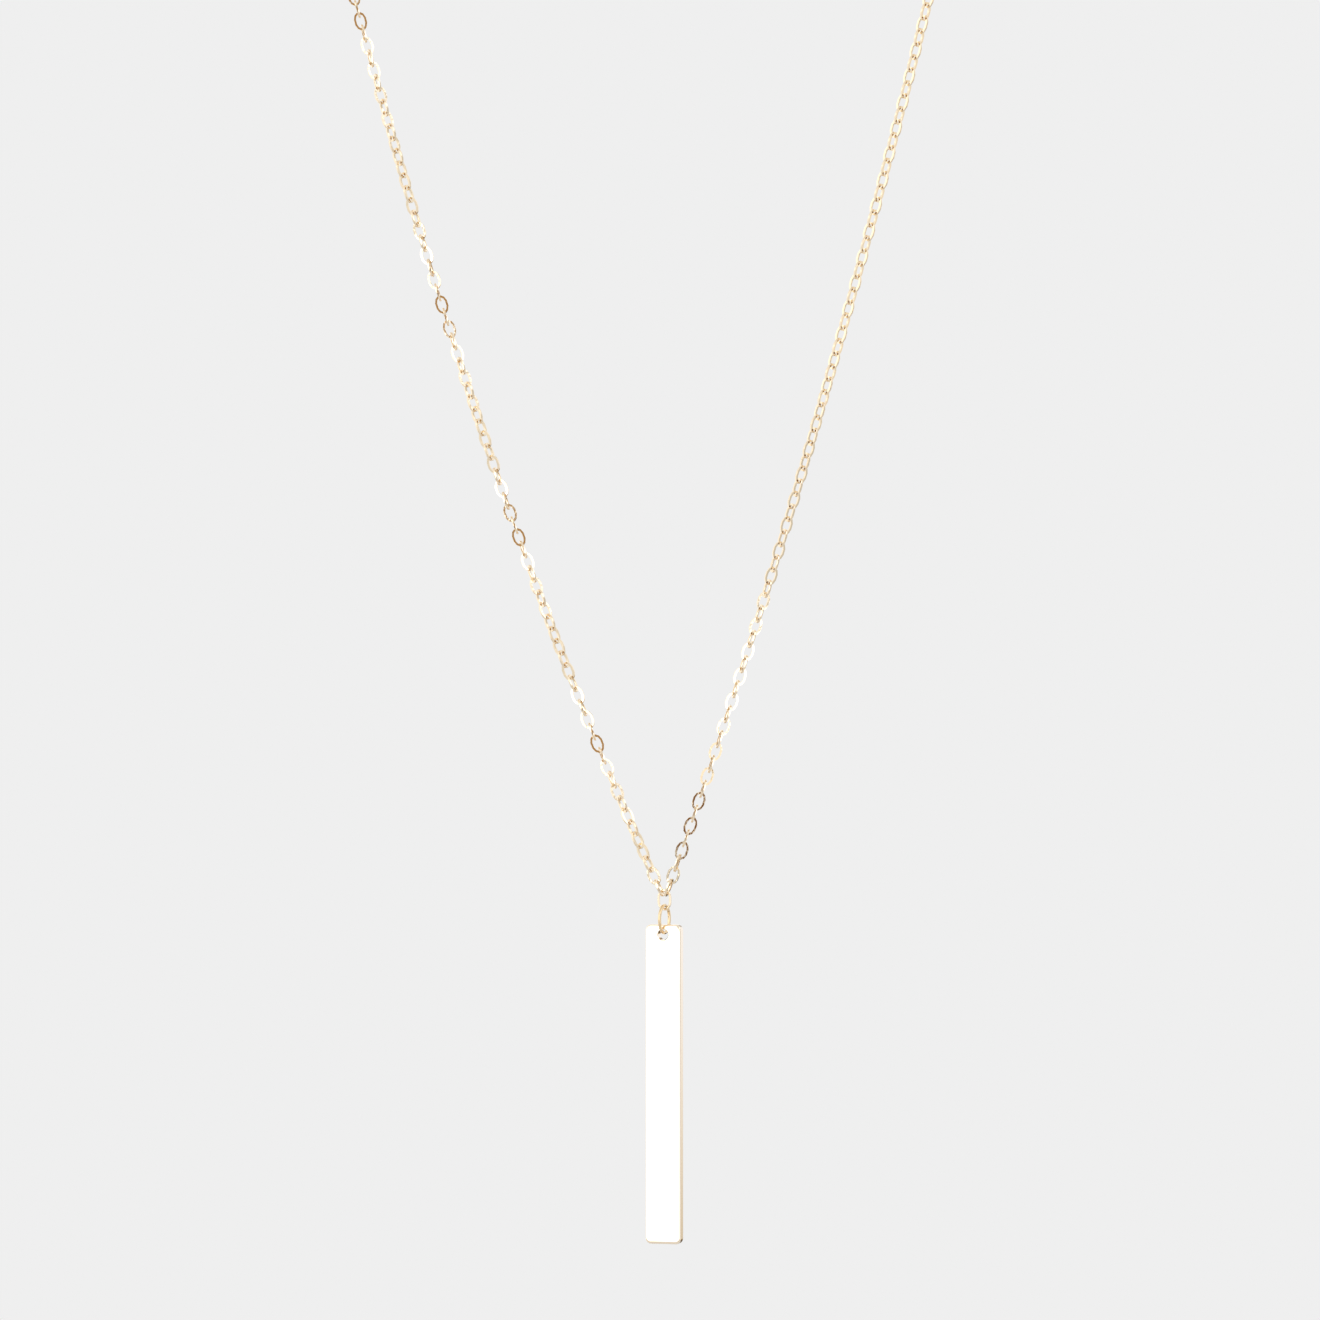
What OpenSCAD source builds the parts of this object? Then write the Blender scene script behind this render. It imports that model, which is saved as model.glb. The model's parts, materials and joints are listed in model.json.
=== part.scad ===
// Bar pendant necklace: an upright flat bar on a fine oval cable chain, hanging as it does when worn.
// Millimetres. +Z is up, the bar's face looks towards -Y, and the whole loop lies in the XZ plane.
// The origin is the top centre of the loop, where it sits on a neck or hangs on a hook.

/* [Bar] */
// Length of the bar from top to bottom
bar_length = 35; // [20:0.5:50]
// Width of the bar's face
bar_width = 4; // [3.4:0.1:6]
// Thickness of the bar
bar_thickness = 1.2; // [0.8:0.1:1.3]
// Radius of the four corners of the face
corner_radius = 0.6; // [0.3:0.05:1]
// Radius of the softened edges along the two long sides
edge_radius = 0.12; // [0.05:0.01:0.3]
// Radius of the softened edges across the two ends
end_radius = 0.3; // [0.1:0.05:0.35]
// Diameter of the hole near the top of the bar
hole_diameter = 1.2; // [1.2:0.1:1.5]
// Width of the small chamfer round the hole
hole_chamfer = 0.06; // [0.02:0.01:0.1]
// Height of the bar's top edge above the ring's wire in the hole
top_above_wire = 0.92; // [0.85:0.01:1.1]

/* [Rings] */
// Outer diameter of the jump ring
jump_diameter = 3.36; // [3.2:0.02:4.2]
// Wire diameter of the jump ring
jump_wire = 0.36; // [0.3:0.02:0.4]
// Turn of the jump ring about the vertical, in degrees
jump_turn = -5; // [-8:1:8]
// Outer length of the upright centre link
centre_length = 2.35; // [2.3:0.05:2.8]
// Outer width of the upright centre link
centre_width = 1.58; // [1.58:0.02:1.8]
// Wire diameter of the centre link
centre_wire = 0.28; // [0.24:0.02:0.28]

/* [Chain] */
// Outer length of one link
link_length = 2.1; // [2.06:0.01:2.1]
// Outer width of one link
link_width = 1.4; // [1.4:0.02:1.6]
// Width of a link's wire, seen on its flat face
wire_width = 0.26; // [0.24:0.01:0.27]
// Thickness of a link from face to face
wire_thickness = 0.24; // [0.2:0.01:0.25]
// Distance between the middles of neighbouring links
link_pitch = 1.44; // [1.42:0.005:1.445]
// Number of links in the left leg, from the centre link up
links_left = 72; // [20:1:72]
// Number of links in the right leg, from the centre link up
links_right = 71; // [20:1:72]
// Length of each leg before the loop turns over the top
leg_length = 148.5; // [115:0.5:180]

/* [Clasp] */
// Outer diameter of the ring clasp
clasp_diameter = 5.5; // [5:0.1:7]
// Wire diameter of the ring clasp
clasp_wire = 1.2; // [0.9:0.05:1.3]
// Outer diameter of the eyelet soldered to the clasp
eyelet_diameter = 2; // [1.8:0.1:2.4]
// Wire diameter of the eyelet
eyelet_wire = 0.45; // [0.4:0.05:0.5]
// Outer diameter of the ring that the clasp closes on
end_ring_diameter = 3.6; // [3.6:0.1:4.2]
// Wire diameter of the ring that the clasp closes on
end_ring_wire = 0.6; // [0.5:0.05:0.6]

/* [Hidden] */
$fn = 96;

gold = [0.91, 0.79, 0.58];
pale_gold = [0.95, 0.87, 0.72];

// Air left between two pieces of metal that rest on each other
rest_gap = 0.105;
// Air between the jump ring and the top of the hole, where the wire curves away from the bar
hole_air = 0.08;
// Small overlap where two cutters or soldered pieces run into each other
overlap = 0.2;

// One row for each leg: side of the loop, slope of its foot (rise over run), gain in slope for each
// millimetre along it, twist that settles over its first links, and twist from each link to the next
// along its lower and its upper links, in degrees
SIDE = 0;
SLOPE = 1;
CURVE = 2;
SETTLE = 3;
LOWER_TWIST = 4;
UPPER_TWIST = 5;
left = [-1, 2.08, 0.0145, -11, -5.1, -3.7];
right = [1, 2.72, 0.012, 9.75, 1.25, -0.15];
settling_links = 5;
lower_links = 47;

// Radii down the middle of each wire, and where the pieces of the drop sit below the chain's feet
jump_radius = (jump_diameter - jump_wire) / 2;
centre_radius = (centre_width - centre_wire) / 2;
centre_straight = centre_length - centre_width;
link_reach = (link_length - wire_width) / 2;
// The feet of the two legs lie side by side in the centre link
foot_apart = 0.19;
foot_below_top = 0.54;
foot_above_swivel = centre_length - centre_wire - foot_below_top;
swivel_to_ring = jump_radius - (centre_wire + jump_wire) / 2 - rest_gap;
swivel_to_wire = swivel_to_ring + jump_radius;

function arc_sinh(v) = ln(v + sqrt(v * v + 1));
function slope_at(leg, s) = leg[SLOPE] + leg[CURVE] * s;
function run_at(leg, s) = (arc_sinh(slope_at(leg, s)) - arc_sinh(leg[SLOPE])) / leg[CURVE];
function rise_at(leg, s) = (norm([1, slope_at(leg, s)]) - norm([1, leg[SLOPE]])) / leg[CURVE];

// Each leg hangs as a catenary, then an arc carries it over the top. The two arcs meet level, at the
// origin: their radii follow from how far apart and how high the legs end.
tilt_left = atan(1 / slope_at(left, leg_length));
tilt_right = atan(1 / slope_at(right, leg_length));
spread = 2 * foot_apart + run_at(left, leg_length) + run_at(right, leg_length);
step_up = rise_at(right, leg_length) - rise_at(left, leg_length);
shared = cos(tilt_left) * (1 + sin(tilt_right)) + cos(tilt_right) * (1 + sin(tilt_left));
arc_left = (spread * (1 + sin(tilt_right)) + step_up * cos(tilt_right)) / shared;
arc_right = (spread * (1 + sin(tilt_left)) - step_up * cos(tilt_left)) / shared;
feet_x = foot_apart + run_at(left, leg_length) - arc_left * cos(tilt_left);
feet_z = -rise_at(left, leg_length) - arc_left * (1 + sin(tilt_left));

function tilt_of(leg) = leg[SIDE] < 0 ? tilt_left : tilt_right;
function arc_of(leg) = leg[SIDE] < 0 ? arc_left : arc_right;
function side_length(leg) = leg_length + arc_of(leg) * (90 + tilt_of(leg)) * PI / 180;
function turned(leg, s) = max(0, s - leg_length) / arc_of(leg) * 180 / PI;

// Heading of the chain at a distance s from its foot, as [x, z], and the normal into the loop
function leg_heading(leg, s) = [leg[SIDE], slope_at(leg, s)] / norm([1, slope_at(leg, s)]);
function inward(leg, heading) = [-leg[SIDE] * heading[1], leg[SIDE] * heading[0]];
function heading_at(leg, s) =
    let (h = leg_heading(leg, min(s, leg_length)), a = turned(leg, s))
    h * cos(a) + inward(leg, h) * sin(a);
function point_at(leg, s) =
    let (
        t = min(s, leg_length),
        h = leg_heading(leg, t),
        n = inward(leg, h),
        a = turned(leg, s),
        r = arc_of(leg),
        on_leg = [leg[SIDE] * (foot_apart + run_at(leg, t)), rise_at(leg, t)]
    )
    on_leg + [feet_x, feet_z] + r * (1 - cos(a)) * n + r * sin(a) * h;

// A link's outline down the middle of its wire, seen on its face: the corners of a squared oval, which
// bulges more than a plain oval where the power is lower
link_sides = 10;
corner_step = 360 / link_sides;
oval_power = 0.8;
oval_scale = pow(cos(corner_step / 2), oval_power);
function oval_corner(k) =
    let (t = corner_step * (k + 0.5), c = cos(t), s = sin(t))
    [
        (link_width - wire_width) / 2 * sign(s) * pow(abs(s), oval_power),
        link_reach / oval_scale * sign(c) * pow(abs(c), oval_power)
    ];
oval = [for (k = [0:link_sides - 1]) oval_corner(k)];

// Five corners of the wire, as [out from the link's middle, up from its face]: a flat inner wall, two
// flat faces that end at face_edge, and a ridge along the outer rim
face_edge = 0.2 * wire_width;
wire_corners = [
    [-wire_width / 2, -wire_thickness / 2],
    [face_edge, -wire_thickness / 2],
    [wire_width / 2, 0],
    [face_edge, wire_thickness / 2],
    [-wire_width / 2, wire_thickness / 2]
];
wire_sides = len(wire_corners);

// Outward normal of the outline's side k, and the mitre that keeps the wire's width round its corner k
function side_normal(k) =
    let (e = oval[(k + 1) % link_sides] - oval[k])
    [-e[1], e[0]] / norm(e);
function mitre(k) =
    let (a = side_normal((k + link_sides - 1) % link_sides), b = side_normal(k))
    (a + b) / (1 + a * b);
mitres = [for (k = [0:link_sides - 1]) mitre(k)];

// Points of one link, by its middle, its long axis, its cross axis and its face's normal
function link_points(middle, long, cross_axis, normal) = [
    for (k = [0:link_sides - 1])
        for (c = wire_corners)
            let (flat = oval[k] + c[0] * mitres[k])
            middle + flat[0] * cross_axis + flat[1] * long + c[1] * normal
];
function link_faces(first) = [
    for (k = [0:link_sides - 1])
        for (j = [0:wire_sides - 1])
            let (n = (k + 1) % link_sides, m = (j + 1) % wire_sides)
            [
                first + k * wire_sides + j,
                first + n * wire_sides + j,
                first + n * wire_sides + m,
                first + k * wire_sides + m
            ]
];
function twist_at(leg, i) =
    leg[SETTLE] * min(1, i / settling_links)
    + leg[LOWER_TWIST] * min(i, lower_links)
    + leg[UPPER_TWIST] * max(0, i - lower_links);
function link_at(leg, i) =
    let (
        s = link_reach + i * link_pitch,
        p = point_at(leg, s),
        h = heading_at(leg, s),
        turn = 90 * (i + 1) + twist_at(leg, i),
        long = [h[0], 0, h[1]],
        level = [h[1], 0, -h[0]],
        cross_axis = level * cos(turn) + [0, 1, 0] * sin(turn)
    )
    link_points([p[0], 0, p[1]], long, cross_axis, cross(long, cross_axis));

module chain_leg(leg, count) {
    points = [for (i = [0:count - 1]) each link_at(leg, i)];
    faces = [for (i = [0:count - 1]) each link_faces(i * link_sides * wire_sides)];
    polyhedron(points, faces, convexity = 10);
}

// The hidden stretch is a plain tube as wide as the links, from the last link to the clasp's rings
tube_sides = 8;
tube_ring_step = 3.9;
function tube_start(count) = link_reach + (count - 1) * link_pitch + link_length / 2 + rest_gap;
function tube_ring(leg, s) =
    let (p = point_at(leg, s), h = heading_at(leg, s), r = link_width / 2)
    [
        for (j = [0:tube_sides - 1])
            let (a = 360 / tube_sides * (j + 0.5), level = [h[1], 0, -h[0]])
            [p[0], 0, p[1]] + r * cos(a) * level + [0, r * sin(a), 0]
    ];

module tube(leg, from, to) {
    rings = ceil((to - from) / tube_ring_step);
    points = [for (i = [0:rings]) each tube_ring(leg, from + (to - from) * i / rings)];
    walls = [
        for (i = [0:rings - 1])
            for (j = [0:tube_sides - 1])
                let (n = (j + 1) % tube_sides, b = i * tube_sides)
                [b + j, b + tube_sides + j, b + tube_sides + n, b + n]
    ];
    foot = [for (j = [0:tube_sides - 1]) j];
    head = [for (j = [0:tube_sides - 1]) rings * tube_sides + tube_sides - 1 - j];
    polyhedron(points, concat(walls, [foot, head]), convexity = 10);
}

module wire_ring(mean_radius, wire) {
    rotate_extrude()
        translate([mean_radius, 0])
            circle(d = wire);
}

module rounded_outline(length, width, radius) {
    square([width - 2 * radius, length], center = true);
    square([width, length - 2 * radius], center = true);
    for (x = [-1, 1], y = [-1, 1])
        translate([x * (width / 2 - radius), y * (length / 2 - radius)])
            circle(radius);
}

// The bar hangs on the jump ring's lowest wire. Three extrusions meet in it: its face's outline along Y,
// the softened long edges along Z, and the softened ends along X.
bar_top = feet_z - foot_above_swivel - swivel_to_wire + top_above_wire;
wire_to_hole_top = jump_radius
    - sqrt(pow(jump_radius - jump_wire / 2 - hole_air, 2) - pow(bar_thickness / 2, 2));
hole_depth = top_above_wire - wire_to_hole_top + hole_diameter / 2;

module bar_blank() {
    intersection() {
        rotate([90, 0, 0])
            linear_extrude(bar_thickness, center = true)
                rounded_outline(bar_length, bar_width, corner_radius);
        linear_extrude(bar_length + overlap, center = true)
            rounded_outline(bar_thickness, bar_width, edge_radius);
        rotate([0, 90, 0])
            linear_extrude(bar_width + overlap, center = true)
                rounded_outline(bar_thickness, bar_length, end_radius);
    }
}

module hole_cutter() {
    cylinder(h = bar_thickness + overlap, d = hole_diameter, center = true);
    for (side = [-1, 1])
        translate([0, 0, side * (bar_thickness / 2 - hole_chamfer / 2 + overlap / 4)])
            rotate([side < 0 ? 180 : 0, 0, 0])
                cylinder(
                    h = hole_chamfer + overlap / 2,
                    r1 = hole_diameter / 2,
                    r2 = hole_diameter / 2 + hole_chamfer + overlap / 2,
                    center = true
                );
}

module bar() {
    color(pale_gold)
        translate([feet_x, 0, bar_top - bar_length / 2])
            difference() {
                bar_blank();
                translate([0, 0, bar_length / 2 - hole_depth])
                    rotate([90, 0, 0])
                        hole_cutter();
            }
}

module jump_ring() {
    color(gold)
        translate([feet_x, 0, feet_z - foot_above_swivel - swivel_to_ring])
            rotate([0, 0, jump_turn])
                rotate([0, 90, 0])
                    wire_ring(jump_radius, jump_wire);
}

module centre_link() {
    color(gold)
        translate([feet_x, 0, feet_z - foot_above_swivel + centre_radius + centre_straight / 2])
            rotate([90, 0, 0]) {
                for (end = [0, 180])
                    rotate([0, 0, end])
                        translate([0, centre_straight / 2, 0])
                            rotate_extrude(angle = 180)
                                translate([centre_radius, 0])
                                    circle(d = centre_wire);
                for (x = [-1, 1])
                    translate([x * centre_radius, 0, 0])
                        rotate([90, 0, 0])
                            cylinder(h = centre_straight, d = centre_wire, center = true);
            }
}

module chain_left() {
    color(gold)
        chain_leg(left, links_left);
}

module chain_right() {
    color(gold)
        chain_leg(right, links_right);
}

// The clasp closes on the end ring to the left of the origin, and its eyelet faces right
clasp_radius = (clasp_diameter - clasp_wire) / 2;
eyelet_radius = (eyelet_diameter - eyelet_wire) / 2;
eyelet_x = (clasp_diameter + eyelet_diameter) / 2 - eyelet_wire / 2;
end_ring_radius = (end_ring_diameter - end_ring_wire) / 2;
end_ring_x = clasp_radius - (clasp_wire + end_ring_wire) / 2 - rest_gap + end_ring_radius;
// The small knob of the clasp's lever, and where it stands round the clasp
knob_length = 1.1;
knob_diameter = 0.5;
knob_angle = 125;

module chain_back() {
    color(gold) {
        tube(left, tube_start(links_left), side_length(left) - end_ring_x - end_ring_diameter / 2 - rest_gap);
        tube(right, tube_start(links_right), side_length(right) - eyelet_x - eyelet_diameter / 2 - rest_gap);
    }
}

module clasp() {
    color(gold)
        rotate([90, 0, 0]) {
            wire_ring(clasp_radius, clasp_wire);
            translate([eyelet_x, 0, 0])
                wire_ring(eyelet_radius, eyelet_wire);
            rotate([0, 0, knob_angle])
                translate([clasp_radius, 0, 0])
                    rotate([0, 90, 0])
                        cylinder(h = knob_length, d = knob_diameter);
        }
}

module end_ring() {
    s = side_length(left) - end_ring_x;
    p = point_at(left, s);
    h = heading_at(left, s);
    color(gold)
        translate([p[0], 0, p[1]])
            rotate([0, -atan2(h[1], h[0]), 0])
                wire_ring(end_ring_radius, end_ring_wire);
}

bar();
jump_ring();
centre_link();
chain_left();
chain_right();
chain_back();
clasp();
end_ring();
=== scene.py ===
"""Looks of a bar pendant necklace: an upright polished bar on a fine, flattened oval cable chain.

Sizes are in millimetres and become metres where a mesh is made. The loop hangs in the XZ plane with +Z up,
its top centre lies at the origin, and the bar's face looks towards -Y.
"""

import json
import logging
import math
import random
from contextlib import contextmanager
from dataclasses import dataclass, field
from enum import Enum
from typing import Callable, Iterator, Sequence

import bmesh
import bpy
from mathutils import Euler, Matrix, Vector

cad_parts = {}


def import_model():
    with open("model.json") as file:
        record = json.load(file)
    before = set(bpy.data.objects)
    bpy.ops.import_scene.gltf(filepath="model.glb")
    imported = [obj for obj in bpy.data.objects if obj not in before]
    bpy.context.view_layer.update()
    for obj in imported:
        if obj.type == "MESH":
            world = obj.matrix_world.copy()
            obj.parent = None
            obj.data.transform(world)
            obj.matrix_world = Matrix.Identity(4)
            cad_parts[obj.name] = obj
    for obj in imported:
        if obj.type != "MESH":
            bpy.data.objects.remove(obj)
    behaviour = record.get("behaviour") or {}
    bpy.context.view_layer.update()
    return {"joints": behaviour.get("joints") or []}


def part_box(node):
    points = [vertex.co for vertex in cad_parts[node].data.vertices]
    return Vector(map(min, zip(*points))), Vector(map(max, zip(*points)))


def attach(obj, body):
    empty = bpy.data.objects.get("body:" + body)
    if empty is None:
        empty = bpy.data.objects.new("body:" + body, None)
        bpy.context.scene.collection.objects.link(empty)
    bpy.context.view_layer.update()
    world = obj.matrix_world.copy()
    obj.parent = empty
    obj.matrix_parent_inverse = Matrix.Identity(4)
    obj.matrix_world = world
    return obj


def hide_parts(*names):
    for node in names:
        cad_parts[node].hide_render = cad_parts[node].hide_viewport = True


LOG = logging.getLogger("necklace")
MM = 0.001
Y_AXIS = Vector((0, 1, 0))

# A quarter turn, in degrees.
QUARTER = 90

# Where links lie: distance along a leg from its foot, and turn about the chain in degrees.
Rows = list[tuple[float, float]]


# Tools for modelling by operators

def deselect_all() -> None:
    """Clears the selection, so that an operator reaches only what is selected after it."""
    bpy.ops.object.select_all(action="DESELECT")


def active_piece(name: str) -> bpy.types.Object:
    """Takes up the primitive that was just added.

    Args:
        name: Name for the object and its mesh.

    Returns:
        The object, placed at the origin with its place moved into its mesh.
    """
    piece = bpy.context.view_layer.objects.active
    piece.name = piece.data.name = name
    bpy.ops.object.transform_apply(location=True, rotation=True, scale=True)
    return piece


def make_active(piece: bpy.types.Object) -> None:
    """Selects one object alone and makes it active."""
    deselect_all()
    piece.select_set(True)
    bpy.context.view_layer.objects.active = piece


@contextmanager
def editing(piece: bpy.types.Object, mode: str) -> Iterator[bmesh.types.BMesh]:
    """Opens a piece in edit mode with nothing selected.

    Args:
        piece: The object to edit.
        mode: Select mode, VERT, EDGE or FACE.

    Yields:
        The edit mesh, for selecting by place.
    """
    make_active(piece)
    bpy.ops.object.mode_set(mode="EDIT")
    bpy.ops.mesh.select_mode(type=mode)
    bpy.ops.mesh.select_all(action="DESELECT")
    yield bmesh.from_edit_mesh(piece.data)
    bpy.ops.object.mode_set(mode="OBJECT")


def select(mesh: bmesh.types.BMesh, parts: Sequence, test: Callable[..., bool]) -> None:
    """Selects the vertices, edges or faces that pass a test, and no others.

    Args:
        mesh: The open edit mesh.
        parts: Its verts, edges or faces.
        test: Says whether a part is taken.
    """
    chosen = [part for part in parts if test(part)]
    for part in parts:
        part.select_set(False)
    for part in chosen:
        part.select_set(True)
    mesh.select_flush_mode()


def apply_modifier(piece: bpy.types.Object, kind: str, **settings: object) -> None:
    """Adds a modifier, sets it and applies it.

    Args:
        piece: The object that gets it.
        kind: The modifier's type.
        settings: Its properties by name.
    """
    make_active(piece)
    modifier = piece.modifiers.new(kind.title(), kind)
    for name, value in settings.items():
        setattr(modifier, name, value)
    bpy.ops.object.modifier_apply(modifier=modifier.name)


def combine(piece: bpy.types.Object, tool: bpy.types.Object, operation: str) -> None:
    """Cuts a closed tool from a piece, or solders it on, and deletes the tool.

    Args:
        piece: The object that stays.
        tool: The object that is used up.
        operation: DIFFERENCE or UNION.
    """
    apply_modifier(piece, "BOOLEAN", object=tool, operation=operation, solver="EXACT")
    bpy.data.objects.remove(tool)


def polish_normals(piece: bpy.types.Object, sharp_degrees: float) -> None:
    """Shades a piece smooth, with its flats kept flat and its sharp edges kept crisp.

    Args:
        piece: The finished mesh.
        sharp_degrees: Angle past which an edge stays sharp.
    """
    make_active(piece)
    bpy.ops.object.shade_smooth_by_angle(angle=math.radians(sharp_degrees))
    apply_modifier(piece, "WEIGHTED_NORMAL", mode="FACE_AREA", weight=100, keep_sharp=True)


def mark_rim(piece: bpy.types.Object, amount: Callable[[Vector], float]) -> None:
    """Stores how far each point lies off the polished faces, for the finish to read.

    Args:
        piece: The mesh to mark.
        amount: Gives 0 on a polished face and 1 on a rim, for a point in metres.
    """
    layer = piece.data.attributes.new("rim", "FLOAT", "POINT")
    for index, vertex in enumerate(piece.data.vertices):
        layer.data[index].value = min(1.0, max(0.0, amount(vertex.co)))


def join(pieces: Sequence[bpy.types.Object], name: str) -> bpy.types.Object:
    """Joins several meshes into one object.

    Args:
        pieces: The meshes, the first of which gives the finish.
        name: Name of the joined object.

    Returns:
        The joined object, at the origin.
    """
    deselect_all()
    for piece in pieces:
        piece.select_set(True)
    bpy.context.view_layer.objects.active = pieces[0]
    bpy.ops.object.join()
    joined = bpy.context.view_layer.objects.active
    joined.name = joined.data.name = name
    return joined


def wire_ring(
    name: str,
    radius: float,
    wire: float,
    place: Sequence[float] = (0, 0, 0),
    turn: Sequence[float] = (0, 0, 0),
    steps: int = 72,
    sides: int = 20,
) -> bpy.types.Object:
    """Models a ring of round wire.

    Args:
        name: Name of the new object.
        radius: Radius down the middle of the wire, in millimetres.
        wire: Diameter of the wire, in millimetres.
        place: The ring's middle, in metres.
        turn: How it is turned from lying level, in radians.
        steps: Sections along the wire.
        sides: Sides of each section.

    Returns:
        The ring, with its place in its mesh.
    """
    deselect_all()
    bpy.ops.mesh.primitive_torus_add(
        major_segments=steps,
        minor_segments=sides,
        major_radius=radius * MM,
        minor_radius=wire / 2 * MM,
        location=place,
        rotation=turn,
    )
    return active_piece(name)


# Tools for node trees

class Graph:
    """A node tree that is filled node by node."""

    # Places of the amount and the two colours among a Mix node's inputs, and of the colour among its outputs.
    MIX_INPUTS = (0, 6, 7)
    MIX_RESULT = 2

    def __init__(self, tree: bpy.types.NodeTree) -> None:
        """Empties the tree and keeps it."""
        tree.nodes.clear()
        self.tree = tree

    def add(self, kind: str, inputs: dict | None = None, **settings: object) -> bpy.types.Node:
        """Adds a node.

        Args:
            kind: The node's type name without its ShaderNode prefix.
            inputs: Values or output sockets by input name or number.
            settings: The node's own properties.

        Returns:
            The new node.
        """
        node = self.tree.nodes.new("ShaderNode" + kind)
        for name, value in settings.items():
            setattr(node, name, value)
        for name, value in (inputs or {}).items():
            socket = node.inputs[name]
            if isinstance(value, bpy.types.NodeSocket):
                self.tree.links.new(value, socket)
            else:
                socket.default_value = value
        return node

    def math(self, operation: str, first: object, second: object = 0.0) -> bpy.types.NodeSocket:
        """Works out one sum on two values or sockets and returns its output."""
        return self.add("Math", {0: first, 1: second}, operation=operation).outputs[0]

    def ramp(self, value: object, low: float, high: float, start: float, end: float) -> bpy.types.NodeSocket:
        """Maps a value softly from the range low to high onto start to end and returns the output."""
        inputs = {"Value": value, "From Min": low, "From Max": high, "To Min": start, "To Max": end}
        return self.add("MapRange", inputs, interpolation_type="SMOOTHSTEP").outputs[0]

    def noise(self, place: bpy.types.NodeSocket, scale: float, detail: float) -> bpy.types.NodeSocket:
        """Adds a noise pattern, with its scale in repeats a metre, and returns its value."""
        return self.add("TexNoise", {"Vector": place, "Scale": scale, "Detail": detail}).outputs[0]

    def blend(self, amount: bpy.types.NodeSocket, first: object, second: object) -> bpy.types.NodeSocket:
        """Mixes two colours, each a socket or three numbers, and returns the result."""
        colours = [c if isinstance(c, bpy.types.NodeSocket) else (*c, 1.0) for c in (first, second)]
        inputs = dict(zip(self.MIX_INPUTS, (amount, *colours)))
        return self.add("Mix", inputs, data_type="RGBA").outputs[self.MIX_RESULT]


# Finishes

class Polish(Enum):
    """How a surface was polished: the grain's stretch along X, Y and Z."""

    DRAWN_UPRIGHT = (1.0, 1.0, 0.06)
    TUMBLED = (1.0, 1.0, 1.0)


@dataclass(frozen=True)
class GoldPlate:
    """Pale gold plating on brass, with fine hairlines, slight waviness and warmer rims.

    Attributes:
        face_tone: Colour of a polished face.
        rim_tone: Colour of a rim.
        rim_share: How strongly a rim takes that colour.
        thin_tone: Colour where the plating is thin.
        thin_share: How strongly a thin place takes that colour.
        thin_range: Where the tone pattern begins to be thin, and where it is thinnest.
        tone_size_mm: Size of the tone pattern.
        wave_size_mm: Size of the waves.
        hairline_size_mm: Width of the hairlines.
        hairline_range: Where the hairlines begin to roughen a surface, and where they do so most.
        hairline_roughness: Roughness that they add at most.
    """

    name: str
    polish: Polish
    face_tone: tuple[float, float, float] = (0.93, 0.79, 0.59)
    rim_tone: tuple[float, float, float] = (0.88, 0.75, 0.58)
    rim_share: float = 0.85
    thin_tone: tuple[float, float, float] = (0.94, 0.76, 0.58)
    thin_share: float = 0.6
    thin_range: tuple[float, float] = (0.45, 0.75)
    face_roughness: float = 0.035
    rim_roughness: float = 0.12
    tone_size_mm: float = 2.5
    tone_detail: float = 3.0
    wave_size_mm: float = 1.6
    wave_detail: float = 1.0
    wave_height_mm: float = 0.0022
    hairline_size_mm: float = 0.045
    hairline_detail: float = 4.0
    hairline_depth_mm: float = 0.0005
    hairline_range: tuple[float, float] = (0.42, 0.72)
    hairline_roughness: float = 0.03

    def build(self) -> bpy.types.Material:
        """Makes the material.

        Returns:
            The finished material, which reads object coordinates and the rim attribute.
        """
        material = bpy.data.materials.new(self.name)
        material.use_nodes = True
        graph = Graph(material.node_tree)
        place = graph.add("TexCoord").outputs["Object"]
        rim = graph.add("Attribute", attribute_name="rim").outputs["Fac"]
        stretched = graph.add("Mapping", {"Vector": place, "Scale": self.polish.value}).outputs[0]
        tone = graph.noise(place, 1.0 / (self.tone_size_mm * MM), self.tone_detail)
        wave = graph.noise(place, 1.0 / (self.wave_size_mm * MM), self.wave_detail)
        hairline = graph.noise(stretched, 1.0 / (self.hairline_size_mm * MM), self.hairline_detail)
        thin = graph.ramp(tone, *self.thin_range, 0.0, self.thin_share)
        plate = graph.blend(thin, self.face_tone, self.thin_tone)
        colour = graph.blend(graph.math("MULTIPLY", rim, self.rim_share), plate, self.rim_tone)
        rough = graph.ramp(rim, 0.0, 1.0, self.face_roughness, self.rim_roughness)
        scuff = graph.ramp(hairline, *self.hairline_range, 0.0, self.hairline_roughness)
        rough = graph.math("ADD", rough, scuff)
        swell = graph.add("Bump", {"Height": wave, "Strength": 1.0, "Distance": self.wave_height_mm * MM})
        lines = {
            "Height": hairline,
            "Strength": 1.0,
            "Distance": self.hairline_depth_mm * MM,
            "Normal": swell.outputs[0],
        }
        scratched = graph.add("Bump", lines).outputs[0]
        metal = graph.add(
            "BsdfPrincipled",
            {"Base Color": colour, "Metallic": 1.0, "Roughness": rough, "Normal": scratched},
        )
        graph.add("OutputMaterial", {"Surface": metal.outputs[0]})
        return material


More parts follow.
